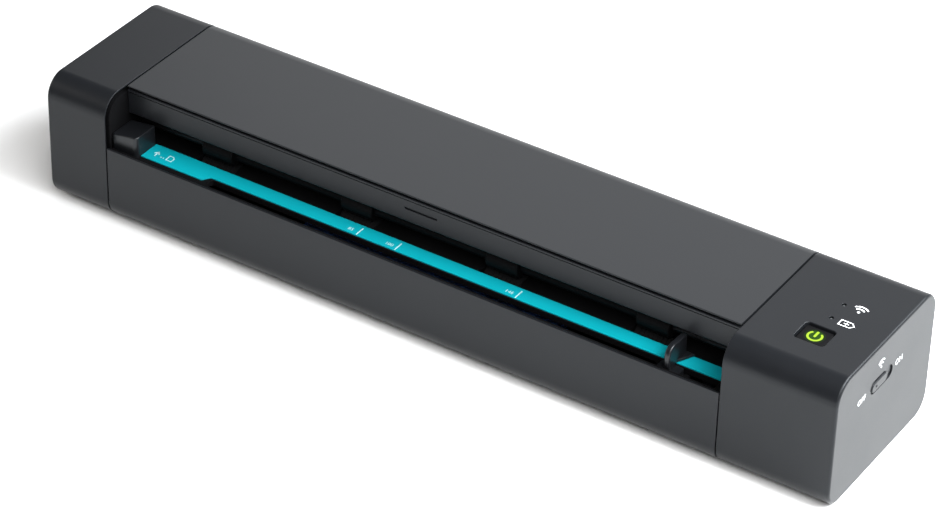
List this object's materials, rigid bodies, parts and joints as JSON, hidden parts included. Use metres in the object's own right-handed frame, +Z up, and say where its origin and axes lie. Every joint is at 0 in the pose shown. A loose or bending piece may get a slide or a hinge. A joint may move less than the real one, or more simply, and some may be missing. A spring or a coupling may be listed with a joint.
{
  "type": "portable document scanner",
  "caption": "Portable sheet-fed document scanner with a front paper mouth, a sliding paper guide, a hinged top and a geared roller drive.",
  "frame": {"origin": "middle of the footprint, on the plane that the rubber feet stand on", "axes": "+X along the machine towards the end with the power button, +Y from the paper mouth to the rear slot, +Z up"},
  "size_m": [0.3006, 0.0646, 0.0479],
  "materials": {
    "shell": "fine matte grain",
    "black_plastic": "satin",
    "size_strip": "satin printed",
    "steel": "ground",
    "blackened_steel": "black oxide",
    "rubber": "matte",
    "gear_plastic": "moulded, natural",
    "white_plastic": "even white",
    "scan_glass": "polished",
    "circuit_board": "lacquered",
    "bronze": "sintered",
    "light_guide": "clear moulded",
    "ribbon": "smooth film",
    "battery_wrap": "shrink film"
  },
  "bodies": {
    "base": {"lower_housing": "shell", "left_end_cap": "shell", "right_end_cap": "shell", "left_side_frame": "black_plastic", "right_side_frame": "black_plastic", "feed_table": "black_plastic", "size_strip": "size_strip", "fixed_paper_guide": "shell", "lower_image_sensor": "black_plastic", "lower_scan_glass": "scan_glass", "lower_white_backing": "white_plastic", "lower_sensor_spring": "steel", "feed_motor": "steel", "left_front_housing_screw": "steel", "right_front_housing_screw": "steel", "left_rear_housing_screw": "steel", "right_rear_housing_screw": "steel", "left_front_foot": "rubber", "left_rear_foot": "rubber", "right_front_foot": "rubber", "right_rear_foot": "rubber", "battery_pack": "battery_wrap", "battery_cover": "shell", "battery_cover_screw": "steel", "main_board": "circuit_board", "power_switch": "black_plastic", "status_light_guide": "light_guide", "mode_switch_body": "black_plastic", "usb_socket": "steel", "card_socket": "steel", "paper_detector": "black_plastic", "lower_sensor_ribbon": "ribbon"},
    "upper_unit": {"top_cover": "shell", "front_band": "shell", "upper_frame": "black_plastic", "upper_image_sensor": "black_plastic", "upper_scan_glass": "scan_glass", "upper_white_backing": "white_plastic", "upper_sensor_spring": "steel", "front_pinch_spring": "steel", "rear_pinch_spring": "steel"},
    "front_pinch_roller": {"front_pinch_shaft": "blackened_steel", "front_pinch_sleeve": "black_plastic"},
    "rear_pinch_roller": {"rear_pinch_shaft": "blackened_steel", "rear_pinch_sleeve": "black_plastic"},
    "feed_roller": {"feed_shaft": "steel", "feed_roller_sleeve": "rubber", "feed_gear": "gear_plastic"},
    "exit_roller": {"exit_shaft": "steel", "exit_roller_sleeve": "rubber", "exit_gear": "gear_plastic"},
    "idler": {"idler_gear": "gear_plastic"},
    "reduction": {"reduction_gear": "gear_plastic"},
    "motor_rotor": {"motor_pinion": "bronze"},
    "sliding_guide": {"sliding_paper_guide": "shell", "guide_carriage": "black_plastic"},
    "power_key": {"power_button": "black_plastic"},
    "mode_switch": {"mode_switch_knob": "shell"}
  },
  "joints": [
    {"name": "top_hinge", "type": "hinge", "parent": "base", "child": "upper_unit", "pos_m": [0, 0.026, 0.0387], "axis": [-1, 0, 0], "range_deg": [0, 60]},
    {"name": "feed_spin", "type": "hinge", "parent": "base", "child": "feed_roller", "pos_m": [0, -0.0137, 0.0233], "axis": [1, 0, 0], "continuous": true},
    {"name": "exit_spin", "type": "hinge", "parent": "base", "child": "exit_roller", "pos_m": [0, 0.0181, 0.0233], "axis": [1, 0, 0], "continuous": true},
    {"name": "idler_spin", "type": "hinge", "parent": "base", "child": "idler", "pos_m": [0, 0.0022, 0.0233], "axis": [1, 0, 0], "continuous": true},
    {"name": "reduction_spin", "type": "hinge", "parent": "base", "child": "reduction", "pos_m": [0, 0.00763, 0.0116], "axis": [1, 0, 0], "continuous": true},
    {"name": "motor_spin", "type": "hinge", "parent": "base", "child": "motor_rotor", "pos_m": [0, 0.01925, 0.0102], "axis": [1, 0, 0], "continuous": true},
    {"name": "front_pinch_spin", "type": "hinge", "parent": "upper_unit", "child": "front_pinch_roller", "pos_m": [0, -0.0137, 0.0321], "axis": [1, 0, 0], "continuous": true},
    {"name": "rear_pinch_spin", "type": "hinge", "parent": "upper_unit", "child": "rear_pinch_roller", "pos_m": [0, 0.0181, 0.0321], "axis": [1, 0, 0], "continuous": true},
    {"name": "guide_slide", "type": "slide", "parent": "base", "child": "sliding_guide", "axis": [1, 0, 0], "range_m": [-0.1696, 0.0124]},
    {"name": "power_press", "type": "slide", "parent": "base", "child": "power_key", "axis": [0, 0, -1], "range_m": [0, 0.0008], "stiffness_N_per_m": 600, "springref_m": -0.0005},
    {"name": "mode_slide", "type": "slide", "parent": "base", "child": "mode_switch", "axis": [0, 1, 0], "range_m": [0, 0.0034]}
  ],
  "couplings": [
    {"joint": "idler_spin", "follows": "feed_spin", "ratio": -0.70968},
    {"joint": "exit_spin", "follows": "feed_spin", "ratio": 1},
    {"joint": "reduction_spin", "follows": "feed_spin", "ratio": 1.8333},
    {"joint": "motor_spin", "follows": "feed_spin", "ratio": -4.125},
    {"joint": "front_pinch_spin", "follows": "feed_spin", "ratio": -1.125},
    {"joint": "rear_pinch_spin", "follows": "feed_spin", "ratio": -1.125}
  ]
}
